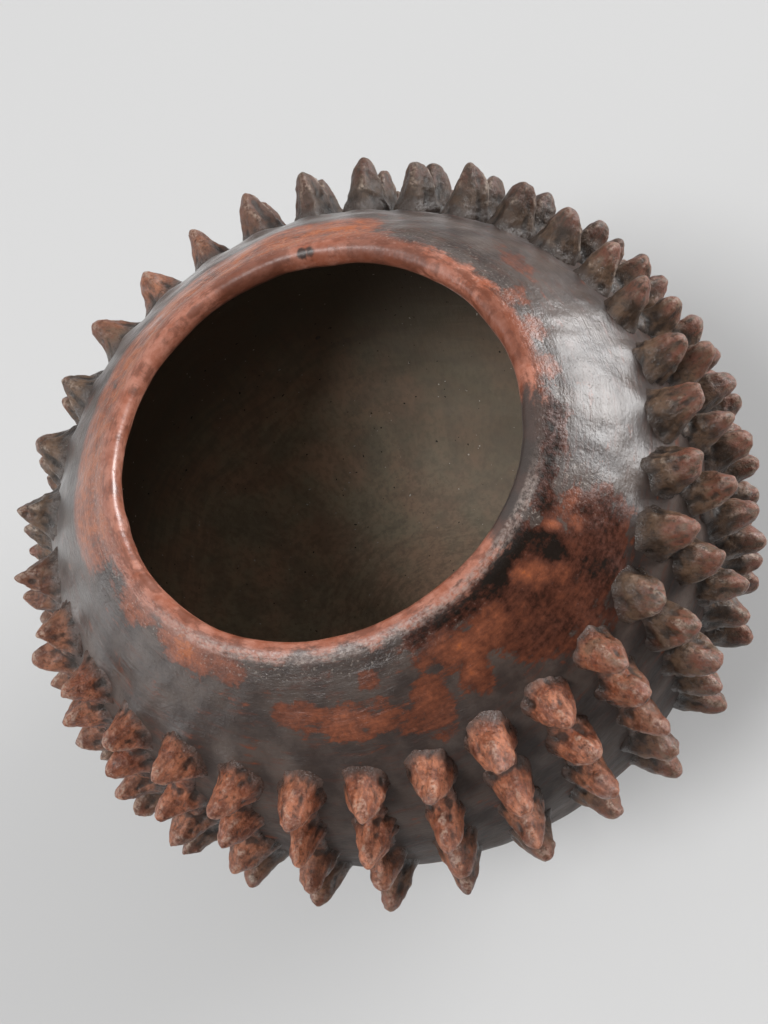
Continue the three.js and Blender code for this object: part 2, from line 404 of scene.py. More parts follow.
def placed(foot, side, outward, upward):
    """Points on the jar for distances to the side, outward and upward from a foot on the wall."""
    distance = float(wall_distance(foot.elevation))
    foot_radius = distance * math.cos(foot.elevation)
    foot_height = BELLY_HEIGHT + distance * math.sin(foot.elevation)
    aim = foot.elevation + math.radians(THORN_LIFT)
    radius = foot_radius + math.cos(aim) * outward - math.sin(aim) * upward
    height = foot_height + math.sin(aim) * outward + math.cos(aim) * upward
    turn = foot.azimuth + side / foot_radius
    return np.stack([radius * np.cos(turn), radius * np.sin(turn), height], axis=-1)


def thorn_rings(thorn, random, smear):
    """A blunt pinched cone that starts inside the wall and flares out where it meets it. A smear draws its
    upper side up over the wall."""
    stout = side_share(thorn.azimuth, STOUT_SIDE)
    squat = side_share(thorn.azimuth, SQUAT_SIDE)
    taper = random.uniform(*TAPER) + STOUT_TAPER * stout + SQUAT_TAPER * squat
    droop = random.uniform(*DROOP)
    corners = random.uniform(*CORNERS)
    lumps = [(n, random.uniform(*LUMPINESS), random.uniform(0, 2 * math.pi)) for n in (2, 3, 5)]
    broad = random.uniform(*BREADTH) + STOUT_BREADTH * stout + SQUAT_BREADTH * squat
    tall = random.uniform(*TALLNESS)
    angle = np.linspace(0, 2 * math.pi, THORN_STEPS, endpoint=False)
    shape = (np.abs(np.cos(angle)) ** corners + np.abs(np.sin(angle)) ** corners) ** (-1 / corners)
    for n, size, phase in lumps:
        shape = shape * (1 + size * np.cos(n * angle + phase))
    # How far out each ring stands, as a share of the thorn's length
    low, high, tip = np.linspace(-0.28, 0.3, 9), np.linspace(0.38, 0.9, 8), [0.95, 0.98, 0.995, 1.0]
    reach = thorn.length + THORN_EXTRA + SQUAT_LENGTH * squat
    upper = np.sqrt(np.maximum(np.sin(angle), 0))
    rings = []
    for share in np.concatenate([low, high, tip]):
        clear = max(0.0, share)
        body = max(0.03, (1 - clear) ** taper)
        near_wall = math.exp(-clear / FLARE_REACH)
        flare = 1 + (FLARE + SQUAT_FLARE * squat) * near_wall
        section = shape * (1 + ARRIS * (1 - near_wall) * np.cos(3 * (angle - math.pi / 2)))
        half_side = thorn.width / 2 * broad * body * flare
        half_up = thorn.width / 2 * tall * body * flare * (1 + smear * upper * near_wall)
        sideways = half_side * section * np.cos(angle) + (thorn.sway + 0.4 * droop) * clear ** 1.4
        upward = half_up * section * np.sin(angle) + droop * clear ** 2
        wrap = near_wall * upward ** 2 / (2 * SHOULDER_RISE)
        rings.append(placed(thorn, sideways, reach * share - wrap, upward))
    return rings


def ridge_rings(strip):
    """The low ridge of clay that the thorns of a strip stand on, run out thin above the first."""
    angle = np.linspace(0, 2 * math.pi, RIDGE_STEPS, endpoint=False)
    top = strip[0].elevation + math.radians(RIDGE_ABOVE)
    bottom = strip[-1].elevation - math.radians(RIDGE_BELOW)
    rows, bearings = strip_line(strip)
    rings = []
    for share in np.linspace(0, 1, RIDGE_RINGS):
        elevation = top + (bottom - top) * share
        foot = Foot(float(np.interp(elevation, rows, bearings)), elevation)
        run_out = float(smooth_step(0, 0.14, share) * smooth_step(1, 0.88, share))
        half = RIDGE_END_HALF + (RIDGE_HALF - RIDGE_END_HALF) * run_out
        height = RIDGE_END_TOP + (RIDGE_TOP - RIDGE_END_TOP) * run_out
        outward = (height + RIDGE_DEPTH) / 2 * np.sin(angle) + (height - RIDGE_DEPTH) / 2
        rings.append(placed(foot, half * np.cos(angle), outward, np.zeros(len(angle))))
    return rings


def skinned(rings):
    """A closed skin over a stack of rings."""
    count = len(rings[0])
    points = np.concatenate(rings)
    a = np.arange(count)
    b = (a + 1) % count
    faces = []
    for level in range(len(rings) - 1):
        low, high = level * count, (level + 1) * count
        faces += np.stack([low + a, low + b, high + b, high + a], axis=1).tolist()
    faces.append(list(range(count))[::-1])
    faces.append(list(range(len(points) - count, len(points))))
    return points, faces


def merged(shells):
    """The points and faces of several skins as one mesh."""
    points, faces, base = [], [], 0
    for shell_points, shell_faces in shells:
        points.append(shell_points)
        faces += [[base + corner for corner in face] for face in shell_faces]
        base += len(shell_points)
    return np.concatenate(points), faces


def vertex_vectors(mesh, name):
    flat = np.zeros(len(mesh.vertices) * 3)
    mesh.vertices.foreach_get(name, flat)
    return flat.reshape(-1, 3)


def coordinates(mesh):
    return vertex_vectors(mesh, "co") / MM


def convexity(mesh):
    """How sharply the skin turns at each vertex, per millimetre: ridges above zero, hollows below."""
    points, normals = coordinates(mesh), vertex_vectors(mesh, "normal")
    ends = np.zeros(len(mesh.edges) * 2, np.int32)
    mesh.edges.foreach_get("vertices", ends)
    first, second = ends.reshape(-1, 2).T
    across = points[first] - points[second]
    length = (across ** 2).sum(axis=1)
    total, count = np.zeros(len(points)), np.zeros(len(points))
    for here, sign in ((first, 1), (second, -1)):
        np.add.at(total, here, sign * (normals[here] * across).sum(axis=1) / length)
        np.add.at(count, here, 1)
    turn = total / count
    for _ in range(4):
        spread = turn.copy()
        np.add.at(spread, first, turn[second])
        np.add.at(spread, second, turn[first])
        turn = spread / (count + 1)
    return turn


def write_attribute(mesh, name, values):
    mesh.attributes.new(name, "FLOAT", "POINT").data.foreach_set("value", values.astype(np.float32))


def build_strip(column):
    """One strip of thorns: cones and ridge pressed into one body, worked over and fluted lengthwise."""
    random = np.random.RandomState(STRIP_SEED + column)
    strip = STRIPS[column]
    shells = [skinned(thorn_rings(strip[0], random, FIRST_SMEAR))]
    shells += [skinned(thorn_rings(thorn, random, 0.0)) for thorn in strip[1:]]
    shells.append(skinned(ridge_rings(strip)))
    piece = mesh_object(f"thorns_{column + 1:02d}", *merged(shells))
    remesh = piece.modifiers.new("press together", "REMESH")
    remesh.mode = "VOXEL"
    remesh.voxel_size = THORN_VOXEL * MM
    remesh.use_smooth_shade = True
    smooth = piece.modifiers.new("smooth", "SMOOTH")
    smooth.factor, smooth.iterations = 0.5, 3
    graph = bpy.context.evaluated_depsgraph_get()
    pressed = bpy.data.meshes.new_from_object(piece.evaluated_get(graph))
    piece.modifiers.clear()
    piece.data = pressed
    points, normals = coordinates(pressed), vertex_vectors(pressed, "normal")
    offset = points - np.array([0, 0, BELLY_HEIGHT])
    rays = offset / np.linalg.norm(offset, axis=1)[:, None] * BELLY_RADIUS
    depth, length, seed = THORN_FACETS
    push = depth * (1 - 2 * np.abs(waves(points, length, seed + column)).clip(0, 1))
    for depth, length, seed in THORN_LUMPS:
        push += depth * waves(points, length, seed + column)
    depth, length, seed = THORN_FLUTES
    push += depth * waves(rays, length, seed + column)
    points += normals * push[:, None]
    pressed.vertices.foreach_set("co", (points * MM).ravel())
    pressed.update()
    elevation = np.arctan2(offset[:, 2], np.hypot(offset[:, 0], offset[:, 1]))
    proud = np.linalg.norm(offset, axis=1) - wall_distance(elevation)
    write_attribute(pressed, "proud", proud)
    # How sharply the skin turns: the thorn clay uses it to paint highlights along ridges and shade in
    # hollows.
    write_attribute(pressed, "edge", convexity(pressed))
    return piece


# Materials. Sizes and depths are in millimetres, and shares run from 0 to 1.


def rgb(red, green, blue):
    return (red, green, blue, 1.0)


class Clay:
    """Builds one clay material: layers of colour, a bumpy surface and a patchy gloss."""

    def __init__(self, name):
        self.material = bpy.data.materials.new(name)
        self.material.use_nodes = True
        self.tree = self.material.node_tree
        self.shader = self.tree.nodes["Principled BSDF"]
        coordinate = self.tree.nodes.new("ShaderNodeTexCoord")
        scale = self.node("ShaderNodeVectorMath", operation="SCALE")
        scale.inputs["Scale"].default_value = 1 / MM
        self.tree.links.new(coordinate.outputs["Object"], scale.inputs[0])
        self.place = scale.outputs[0]
        self.height = None

    def node(self, kind, **settings):
        made = self.tree.nodes.new(kind)
        for name, value in settings.items():
            setattr(made, name, value)
        return made

    def put(self, socket, value):
        if isinstance(value, bpy.types.NodeSocket):
            self.tree.links.new(value, socket)
        else:
            socket.default_value = value

    def set_evenly(self, name, value):
        """Sets one of the shader's own values, the same all over."""
        self.shader.inputs[name].default_value = value

    def math(self, operation, a, b=0.0):
        made = self.node("ShaderNodeMath", operation=operation)
        self.put(made.inputs[0], a)
        self.put(made.inputs[1], b)
        return made.outputs[0]

    def times(self, first, *others):
        for other in others:
            first = self.math("MULTIPLY", first, other)
        return first

    def plus(self, first, *others):
        for other in others:
            first = self.math("ADD", first, other)
        return first

    def less(self, value, amount):
        return self.math("SUBTRACT", value, amount)

    def most(self, first, *others):
        for other in others:
            first = self.math("MAXIMUM", first, other)
        return first

    def without(self, share, strength=1.0):
        """What is left when a share is taken away at some strength."""
        return self.less(1.0, share if strength == 1.0 else self.times(share, strength))

    def vector(self, operation, a, b):
        made = self.node("ShaderNodeVectorMath", operation=operation)
        self.put(made.inputs[0], a)
        self.put(made.inputs["Scale" if operation == "SCALE" else 1], b)
        return made.outputs[0]

    def length(self, offset):
        made = self.node("ShaderNodeVectorMath", operation="LENGTH")
        self.put(made.inputs[0], offset)
        return made.outputs["Value"]

    def axis(self, number):
        parts = self.node("ShaderNodeSeparateXYZ")
        self.put(parts.inputs[0], self.place)
        return parts.outputs[number]

    def noise(self, size, detail, roughness, at=None, distortion=0.0):
        """Noise whose features are about size millimetres across."""
        made = self.node("ShaderNodeTexNoise")
        self.put(made.inputs["Vector"], at or self.place)
        made.inputs["Scale"].default_value = 1 / size
        made.inputs["Detail"].default_value = detail
        made.inputs["Roughness"].default_value = roughness
        made.inputs["Distortion"].default_value = distortion
        return made.outputs["Fac"]

    def ramp(self, value, low, high, out_low=0.0, out_high=1.0, kind="SMOOTHSTEP"):
        """A value taken from between low and high to between two others."""
        made = self.node("ShaderNodeMapRange", interpolation_type=kind)
        names = ("Value", "From Min", "From Max", "To Min", "To Max")
        for name, given in zip(names, (value, low, high, out_low, out_high)):
            self.put(made.inputs[name], given)
        return made.outputs[0]

    def mix(self, share, first, second):
        made = self.node("ShaderNodeMix", data_type="RGBA")
        self.put(made.inputs[0], share)
        self.put(made.inputs[6], first)
        self.put(made.inputs[7], second)
        return made.outputs[2]

    def tinted(self, colour, tint, *shares):
        """A colour taken towards a tint by the product of some shares."""
        return self.mix(self.times(*shares), colour, tint)

    def steps(self, value, stops):
        """A colour for each value: stops holds places between 0 and 1 and their colours."""
        made = self.node("ShaderNodeValToRGB")
        self.put(made.inputs[0], value)
        ramp = made.color_ramp
        for place, colour in stops[1:-1]:
            ramp.elements.new(place)
        for element, (place, colour) in zip(ramp.elements, stops):
            element.position, element.color = place, colour
        return made.outputs[0]

    def ragged(self, value, noise, amount):
        """A measure moved about by noise, so that what is marked off by it gets a ragged edge."""
        return self.plus(value, self.times(noise, amount))

    def distance(self, centre):
        return self.length(self.vector("SUBTRACT", self.place, centre))

    def patch(self, centre, radius, soft, tear=None):
        """1 inside a round patch and 0 outside it. Its edge is soft, and a tear moves it in or out."""
        away = self.distance(centre) if tear is None else self.plus(self.distance(centre), tear)
        return self.ramp(away, radius + soft, max(0.0, radius - soft))

    def distance_from_axis(self):
        return self.length(self.vector("MULTIPLY", self.place, (1, 1, 0)))

    def stroked_place(self, along):
        """The place squeezed round the jar, so that noise on it is drawn out into burnishing strokes."""
        x, y, z = (self.axis(number) for number in range(3))
        radius = self.math("SQRT", self.plus(self.times(x, x), self.times(y, y)))
        joined = self.node("ShaderNodeCombineXYZ")
        scale = BELLY_RADIUS / along
        self.put(joined.inputs[0], self.times(self.math("DIVIDE", x, radius), scale))
        self.put(joined.inputs[1], self.times(self.math("DIVIDE", y, radius), scale))
        self.put(joined.inputs[2], self.less(z, radius))
        return joined.outputs[0]

    def ray_place(self, stretch):
        """The place as seen from the middle of the belly, so that noise on it runs out along the thorns."""
        offset = self.vector("SUBTRACT", self.place, (0, 0, BELLY_HEIGHT))
        unit = self.node("ShaderNodeVectorMath", operation="NORMALIZE")
        self.put(unit.inputs[0], offset)
        reach = self.plus(BELLY_RADIUS, self.times(self.length(offset), stretch))
        return self.vector("SCALE", unit.outputs[0], reach)

    def relief(self, value, depth):
        """Adds to the surface's height."""
        part = self.times(value, depth)
        self.height = part if self.height is None else self.plus(self.height, part)

    def finish(self, colour, roughness, specular):
        self.put(self.shader.inputs["Base Color"], colour)
        self.put(self.shader.inputs["Roughness"], roughness)
        self.put(self.shader.inputs["Specular IOR Level"], specular)
        bump = self.node("ShaderNodeBump")
        bump.inputs["Strength"].default_value = 1.0
        bump.inputs["Distance"].default_value = MM
        self.put(bump.inputs["Height"], self.height)
        self.put(self.shader.inputs["Normal"], bump.outputs[0])
        self.put(self.shader.inputs["Coat Normal"], bump.outputs[0])
        return self.material


# Colours are the photograph's tones less the sheen that lies over them.
SMOKE_DARK = rgb(0.04, 0.028, 0.024)
SMOKE_GREY = rgb(0.082, 0.06, 0.05)
MAROON = rgb(0.046, 0.016, 0.01)
RED_BROWN = rgb(0.09, 0.028, 0.015)
RUST = rgb(0.15, 0.046, 0.023)
EMBER = rgb(0.24, 0.072, 0.034)
ORANGE = rgb(0.36, 0.1, 0.03)
SOOT = rgb(0.012, 0.008, 0.006)
LIP_GREY = rgb(0.06, 0.048, 0.043)
TERRACOTTA = rgb(0.3, 0.09, 0.047)
PALE_TERRACOTTA = rgb(0.45, 0.19, 0.13)
BURNT_TERRACOTTA = rgb(0.14, 0.042, 0.022)
# Painted highlight: pale specks that stand in for tiny glints.
GLINT_SPECK = rgb(0.5, 0.43, 0.37)
# Painted highlight: the pale grey of the glint band along the top of the lip.
LIP_GLINT = rgb(0.42, 0.34, 0.3)

INNER_OLIVE = rgb(0.36, 0.3, 0.21)
INNER_BROWN = rgb(0.46, 0.3, 0.205)
# Painted shade: the inside darkens towards the mouth, under the overhanging shoulder.
INNER_PAINTED_SHADE = rgb(0.07, 0.055, 0.042)
# Painted shade: the right-hand side of the inside, where the overhead lamp falls, is painted darker.
INNER_RIGHT_SHADE = rgb(0.12, 0.1, 0.075)
ROUND_WIPE = rgb(0.14, 0.115, 0.09)
UPRIGHT_WIPE = rgb(0.13, 0.11, 0.085)
WHITE_GRIT = rgb(0.6, 0.56, 0.5)
DARK_GRIT = rgb(0.02, 0.016, 0.013)

FOOT_DARK = rgb(0.05, 0.036, 0.028)
FOOT_BROWN = rgb(0.085, 0.055, 0.038)
FOOT_WORN = rgb(0.16, 0.1, 0.07)

THORN_DARK = rgb(0.05, 0.03, 0.019)
THORN_BROWN = rgb(0.15, 0.088, 0.053)
THORN_RED = rgb(0.18, 0.062, 0.036)
THORN_RUST = rgb(0.22, 0.06, 0.026)
THORN_ORANGE = rgb(0.46, 0.165, 0.085)
THORN_FLUTE = rgb(0.12, 0.04, 0.024)
# Pale flecks of grain, partly a painted highlight that stands in for glints on the front thorns.
THORN_GRAIN_AND_GLINT = rgb(0.55, 0.3, 0.21)
# Painted shade: thorns on the back side are painted darker.
THORN_PAINTED_SHADE = rgb(0.035, 0.023, 0.016)
THORN_SPECK = rgb(0.03, 0.019, 0.013)
THORN_ROOT = rgb(0.06, 0.045, 0.038)
# Painted shade: the dark of the hollows and creases between thorns.
HOLLOW_SHADE = rgb(0.018, 0.013, 0.01)
# Painted highlight: the pale lines along the thorns' ridges.
RIDGE_GLINT = rgb(0.5, 0.4, 0.32)

# What the fire left, from cold to hot: places on the scale of heat and their colours
FIRE_STEPS = [
    (0.22, SOOT), (0.36, MAROON), (0.54, RED_BROWN), (0.7, RUST), (0.87, EMBER), (0.99, ORANGE),
]

# Clouds left by the fire on the shoulder: middle, radius and how hot it burnt. Hot clouds go through rust to
# orange, and cold ones are soot. A cloud fades about the first share of its radius, by the second either way.
CLOUD_EDGE, CLOUD_SOFT = 0.85, 0.5
FIRE_CLOUDS = [
    ((34, -92, 181), 24, -0.1),
    ((18, -93, 184), 14, -0.04),
    ((56, -80, 180), 12, -0.14),
    ((48, -89, 177), 9, -0.2),
    ((30, -73, 194), 6, -0.45),
    ((36, -79, 189), 6, -0.5),
    ((38, -84, 186), 4, -0.4),
    ((44, -69, 193), 5, -0.35),
    ((40, -75, 190), 2.2, 0.7),
    ((42, -76, 189), 2, 0.7),
    ((24, -76, 194), 5, -0.5),
    ((18, -78, 194), 5, -0.45),
    ((48, -78, 186), 3, 0.5),
    ((52, -72, 189), 4, 0.3),
    ((28, -85, 188), 5, 0.5),
    ((35, -87, 184), 4, 0.5),
    ((24, -82, 190), 4, 0.45),
    ((15, -81, 192), 5, -0.35),
    ((10, -80, 193), 5, -0.3),
    ((5, -80, 193), 5, -0.3),
    ((-1, -80, 193), 5, -0.3),
    ((-7, -79, 194), 5, -0.3),
    ((-13, -78, 194), 5, -0.3),
    ((64, -46, 195), 7, -0.35),
    ((58, -54, 195), 7, -0.35),
    ((50, -61, 195), 7, -0.35),
    ((82, -4, 194), 6, 0.45),
    ((79, -18, 194), 6, 0.45),
    ((73, -32, 194), 5, 0.4),
    ((9, -87, 189), 6, 0.35),
    ((2, -90, 187), 7, 0.3),
    ((-8, -86, 190), 6, 0.3),
    ((-16, -84, 191), 4, 0.3),
    ((-7, -91, 186), 7, 0.35),
    ((-6, -98, 180), 6, 0.25),
    ((-20, -92, 185), 6, 0.3),
    ((-25, -98, 180), 10, 0.25),
    ((-57, -73, 185), 7, 0.4),
    ((-48, -82, 182), 9, 0.55),
    ((-37, -87, 183), 7, 0.4),
    ((-62, -68, 185), 4, 0.25),
    ((-33, -79, 190), 4, 0.3),
    ((-75, -28, 194), 9, 0.6),
    ((-71, -38, 193), 8, 0.5),
    ((-67, -48, 192), 6, 0.35),
    ((-78, -8, 194), 10, 0.6),
    ((90, 12, 185), 7, 0.1),
]
# Where the lip is smoked or burnt: middle, radius, colour and strength. Softness is a share of the radius.
LIP_CLOUD_SOFT = 0.6
LIP_CLOUDS = [
    ((54, -48, 197), 14, LIP_GREY, 0.95),
    ((44, -61, 196), 14, LIP_GREY, 0.95),
    ((32, -69, 196), 9, LIP_GREY, 0.85),
    ((-4, -82, 195), 6, LIP_GREY, 0.7),
    ((-19, -80, 195), 7, LIP_GREY, 0.85),
    ((-34, -74, 195), 7, LIP_GREY, 0.85),
    ((-47, -66, 195), 7, LIP_GREY, 0.85),
    ((36.6, 62.9, 195.6), 2.1, SOOT, 0.9),
    ((39.4, 61.3, 195.6), 2.1, SOOT, 0.9),
    ((20, 74, 196), 16, BURNT_TERRACOTTA, 0.7),
    ((62, 45, 196), 16, BURNT_TERRACOTTA, 0.6),
    ((74, -14, 196), 17, BURNT_TERRACOTTA, 0.5),
]
# How far from the axis the terracotta ends, how soft that edge is, and how far it is torn in and out
LIP_EDGE, LIP_EDGE_SOFT, TEAR_REACH = 77.5, 1.6, 16.0
# The red back left of the shoulder: how far from the axis it is gone and is full, and how hot it burnt
RED_OUT, RED_FULL, RED_HEAT = 95.0, 89.0, 0.8
# The heights where the shoulder's burnish begins and is full, and how ragged that edge is
BURNISH_FROM, BURNISH_TO, BURNISH_RAGGED = 168.0, 184.0, 16.0

# Parts of the surface that differ from the rest: middle, radius and softness of the edge
PITTED = [((58, -70, 186), 9, 9), ((78, 16, 193), 9, 9)]
POLISHED = [((88, -24, 182), 19, 8), ((78, -58, 180), 19, 8)]
DEEP_SIDE = ((28, -90, 184), 36, 12)
# Painted highlight: the side of the lip where its glint band is painted.
GLINT_SIDE = ((-24, -72, 196), 72, 12)
DULL_SIDE = ((72, -28, 195), 45, 10)
SHEEN_SIDE = ((-96, 44, 179), 38, 16)
RED_SIDE = ((-21, 79, 192), 90, 10)
WARM_SIDE = ((-78, -100, 140), 115, 15)
RUDDY_SIDE = ((8, 122, 160), 49, 13)
LEFT_SIDE = ((-134, -16, 140), 70, 15)
# Painted shade: the back side where the thorns are painted darker.
SHADED_BACK_SIDE = ((88, 88, 150), 82.5, 22.5)


class Burnish:
    """The noises and measures that the wall's and the lip's layers share."""

    def __init__(self, clay):
        self.mottle = clay.noise(14, 6.0, 0.62)
        self.smeared = clay.noise(2.6, 6.0, 0.68, at=clay.stroked_place(4.5))
        self.fine = clay.noise(1.2, 3.0, 0.6, at=clay.stroked_place(1.8))
        self.flecks = clay.noise(1.8, 4.0, 0.6)
        torn = clay.noise(8, 8.0, 0.68, distortion=0.4)
        self.tear = clay.less(clay.mix(0.4, torn, self.smeared), 0.5)
        self.out = clay.distance_from_axis()
        self.torn_out = clay.ragged(self.out, self.tear, TEAR_REACH)
        self.back_left = clay.patch(*RED_SIDE)


def smoked_wall(clay, skin):
    """The wall's colour with its fire clouds, and where it is sooty."""
    colour = clay.mix(clay.ramp(skin.mottle, 0.35, 0.65), SMOKE_DARK, SMOKE_GREY)
    colour = clay.tinted(colour, RED_BROWN, clay.ramp(skin.smeared, 0.5, 0.68), 0.45)
    near = clay.less(clay.times(skin.tear, 5.0), 0.25)
    heat = clay.plus(clay.times(skin.tear, 2.7), clay.less(skin.flecks, 0.5))
    for centre, radius, burnt in FIRE_CLOUDS:
        cloud = clay.patch(centre, radius * CLOUD_EDGE, radius * CLOUD_SOFT)
        near = clay.plus(near, cloud)
        heat = clay.ragged(heat, cloud, burnt)
    red = clay.times(clay.ramp(skin.torn_out, RED_OUT, RED_FULL), skin.back_left)
    near = clay.plus(near, red)
    heat = clay.ragged(heat, red, RED_HEAT)
    scaled = clay.ramp(heat, -1.0, 1.0, kind="LINEAR")
    marked = clay.ramp(near, 0.05, 0.5)
    sooty = clay.times(clay.ramp(scaled, 0.5, 0.3), marked)
    return clay.mix(marked, colour, clay.steps(scaled, FIRE_STEPS)), sooty


def terracotta_lip(clay, skin):
    """The lip's colour, streaked, and smoked or burnt in clouds."""
    colour = clay.mix(clay.ramp(clay.noise(6, 7.0, 0.7), 0.35, 0.65), TERRACOTTA, PALE_TERRACOTTA)
    colour = clay.tinted(colour, BURNT_TERRACOTTA, clay.ramp(skin.smeared, 0.46, 0.6), 0.7)
    for centre, radius, tint, share in LIP_CLOUDS:
        level = clay.ragged(clay.patch(centre, radius, radius * LIP_CLOUD_SOFT), skin.tear, 2.4)
        colour = clay.tinted(colour, tint, clay.ramp(level, 0.25, 0.75), share)
    return colour


def painted_glint_band(clay, skin):
    """Painted highlight: a pale, speckled glint band along the top of the lip, away from the dull right-hand
    side.
    """
    crest = clay.times(clay.ramp(skin.out, 79.0, 77.5), clay.ramp(skin.out, 74.2, 75.7))
    glint_breakup = clay.ramp(clay.mix(0.5, skin.fine, skin.flecks), 0.38, 0.62)
    return clay.times(crest, clay.patch(*GLINT_SIDE), glint_breakup)


def burnished_clay():
    """Wall and lip: clay greyed by smoke, with fire clouds over the shoulder, a terracotta band over the lip
    and a painted glint along its top.
    """
    clay = Clay("burnished_clay")
    skin = Burnish(clay)
    colour, sooty = smoked_wall(clay, skin)
    edge = clay.ramp(skin.torn_out, LIP_EDGE + LIP_EDGE_SOFT, LIP_EDGE - LIP_EDGE_SOFT)
    colour = clay.mix(edge, colour, terracotta_lip(clay, skin))
    # Painted highlight: the lip's glint band, painted in as a pale colour over the crest.
    colour = clay.tinted(colour, LIP_GLINT, painted_glint_band(clay, skin), 0.5)
    pitted = clay.times(clay.ramp(skin.out, 86.0, 81.0), clay.ramp(skin.out, 73.0, 77.0), 0.7)
    for region in PITTED:
        pitted = clay.most(pitted, clay.times(clay.patch(*region), 0.8))
    # Painted highlight: pale specks over the lip's outer band and the pitted spots stand in for tiny glints;
    # the pits themselves are bumps.
    glint_specks = clay.times(clay.ramp(clay.noise(1.2, 2.0, 0.5), 0.62, 0.68), clay.without(sooty))
    colour = clay.tinted(colour, GLINT_SPECK, glint_specks, pitted, 0.35)

    clay.relief(clay.noise(2.4, 4.0, 0.6, at=clay.stroked_place(10.0)), 0.18)
    clay.relief(skin.fine, 0.13)
    clay.relief(clay.noise(6.0, 4.0, 0.55), 0.3)
    clay.relief(clay.times(clay.ramp(clay.noise(1.4, 3.0, 0.6), 0.35, 0.6), pitted), 0.09)
    clay.relief(clay.ramp(clay.noise(1.4, 2.0, 0.5), 0.66, 0.72), 0.05)

    height = clay.ragged(clay.axis(2), skin.mottle, BURNISH_RAGGED)
    burnish = clay.ramp(height, BURNISH_FROM, BURNISH_TO)
    rolled = clay.times(clay.ramp(skin.out, 82.0, 78.0), clay.without(clay.patch(*DULL_SIDE)))
    polished = clay.most(*[clay.patch(*region) for region in POLISHED])
    glazed = clay.patch(*SHEEN_SIDE)
    open_side = clay.without(clay.patch(*DEEP_SIDE))

    roughness = clay.ramp(clay.noise(12, 5.0, 0.6), 0.3, 0.7, 0.3, 0.42)
    roughness = clay.plus(roughness, clay.times(clay.without(burnish), 0.2), clay.times(rolled, 0.05))
    specular = clay.plus(0.22, clay.times(burnish, 0.16), clay.times(glazed, 0.9), clay.times(polished, 0.3))
    specular = clay.times(specular, clay.ramp(open_side, 0.0, 1.0, 0.5, 1.0), clay.without(sooty, 0.7))
    specular = clay.plus(specular, clay.times(rolled, 0.3))
    coat = clay.plus(clay.times(polished, 0.12), clay.times(glazed, 0.9))
    clay.put(clay.shader.inputs["Coat Weight"], coat)
    clay.set_evenly("Coat Roughness", 0.3)
    sheen = clay.times(burnish, open_side, clay.without(rolled))
    sheen = clay.times(sheen, clay.ramp(skin.back_left, 0.0, 1.0, 0.25, 0.4))
    clay.put(clay.shader.inputs["Sheen Weight"], sheen)
    clay.set_evenly("Sheen Roughness", 0.25)
    return clay.finish(colour, roughness, specular)


def inner_clay():
    """The unpolished inside, greenish grey-brown, wiped both round and up and down, with painted shade
    towards the mouth and on the right-hand side.
    """
    clay = Clay("inner_clay")
    mottle = clay.noise(26, 6.0, 0.62)
    round_wipes = clay.noise(2.4, 4.0, 0.65, at=clay.stroked_place(9.0))
    upright = clay.vector("MULTIPLY", clay.place, (1.0, 1.0, 0.14))
    upright_wipes = clay.noise(2.2, 4.0, 0.65, at=upright)
    # Painted shade: darker higher up the inside, towards the mouth.
    darkened = clay.ramp(clay.ragged(clay.axis(2), mottle, 30.0), 65.0, 125.0)
    # Painted shade: the inside is painted darker towards its right-hand side.
    shaded_right = clay.ramp(clay.axis(0), -10.0, 70.0)
    colour = clay.mix(clay.ramp(mottle, 0.35, 0.65), INNER_OLIVE, INNER_BROWN)
    colour = clay.tinted(colour, INNER_PAINTED_SHADE, darkened, 0.8)
    colour = clay.tinted(colour, INNER_RIGHT_SHADE, shaded_right, 0.72)
    colour = clay.tinted(colour, ROUND_WIPE, clay.ramp(round_wipes, 0.42, 0.6), 0.35)
    colour = clay.tinted(colour, UPRIGHT_WIPE, clay.ramp(upright_wipes, 0.45, 0.62), 0.3)
    colour = clay.tinted(colour, WHITE_GRIT, clay.ramp(clay.noise(1.6, 1.0, 0.4), 0.78, 0.8))
    colour = clay.tinted(colour, DARK_GRIT, clay.ramp(clay.noise(2.0, 2.0, 0.4), 0.26, 0.24))
    clay.relief(round_wipes, 0.35)
    clay.relief(upright_wipes, 0.3)
    clay.relief(clay.noise(12.0, 3.0, 0.5), 0.7)
    return clay.finish(colour, roughness=0.7, specular=0.3)


def foot_clay():
    """The unburnished underside, scuffed where it stands."""
    clay = Clay("foot_clay")
    mottle = clay.noise(11, 5.0, 0.6)
    worn = clay.ramp(clay.ragged(clay.axis(2), mottle, 3.0), 3.0, 1.2)
    colour = clay.mix(clay.ramp(mottle, 0.35, 0.65), FOOT_DARK, FOOT_BROWN)
    colour = clay.tinted(colour, FOOT_WORN, worn, 0.6)
    clay.relief(clay.noise(3.0, 4.0, 0.6), 0.4)
    return clay.finish(colour, roughness=0.75, specular=0.3)


